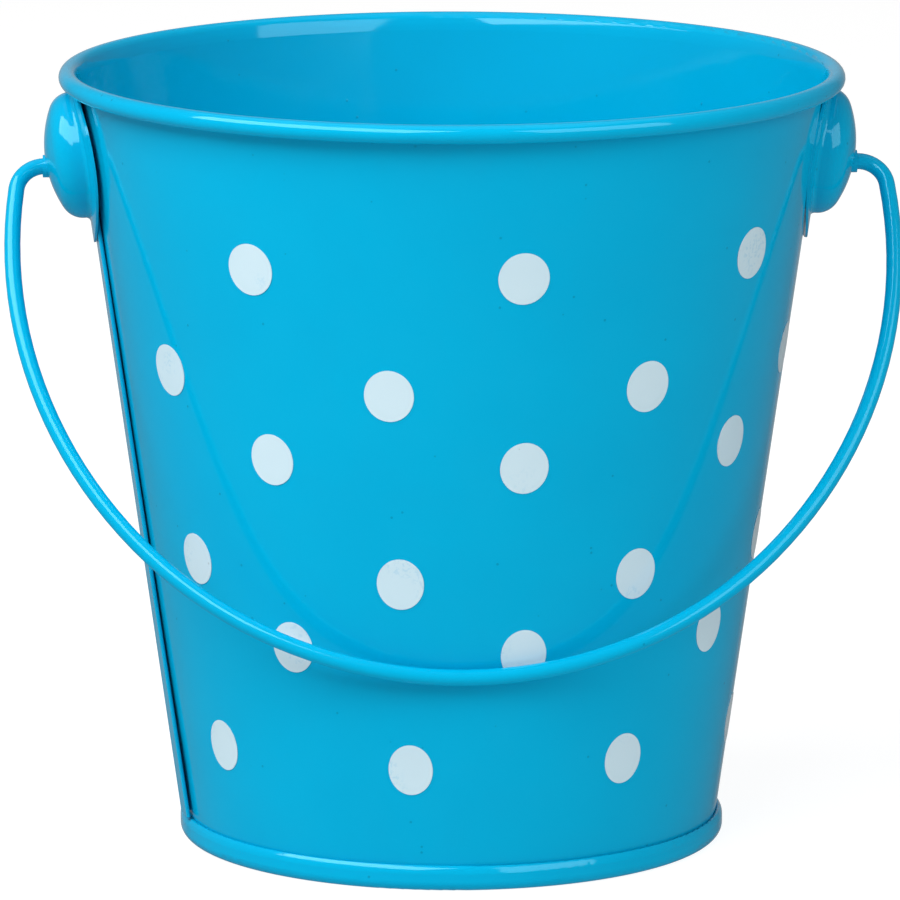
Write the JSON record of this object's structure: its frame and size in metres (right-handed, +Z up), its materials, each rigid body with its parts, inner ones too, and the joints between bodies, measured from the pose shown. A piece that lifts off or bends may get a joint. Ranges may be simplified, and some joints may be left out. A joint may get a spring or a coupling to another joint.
{
  "type": "sand bucket",
  "caption": "Small tapered sheet-metal sand bucket with a rolled rim, a double-seamed foot, round domed ears and a swinging wire bail, printed all over with round dots.",
  "frame": {"origin": "middle of the flat ring that the bucket stands on", "axes": "+Z up the bucket's own axis, +X through the two ears towards the ear away from the lock seam, -Y towards the side that the bail rests against"},
  "size_m": [0.155, 0.136, 0.1353],
  "materials": {
    "blue_enamel": "gloss",
    "bail_enamel": "gloss",
    "dot_ink": "gloss"
  },
  "bodies": {
    "bucket": {"bucket_wall": "blue_enamel", "bottom_disc": "blue_enamel", "left_ear": "blue_enamel", "right_ear": "blue_enamel", "polka_dots": "dot_ink"},
    "bail": {"bail_wire": "bail_enamel"}
  },
  "joints": [
    {"name": "bail_swing", "type": "hinge", "parent": "bucket", "child": "bail", "pos_m": [0, 0, 0.1182], "axis": [-1, 0, 0], "range_deg": [0, 292.3]}
  ]
}
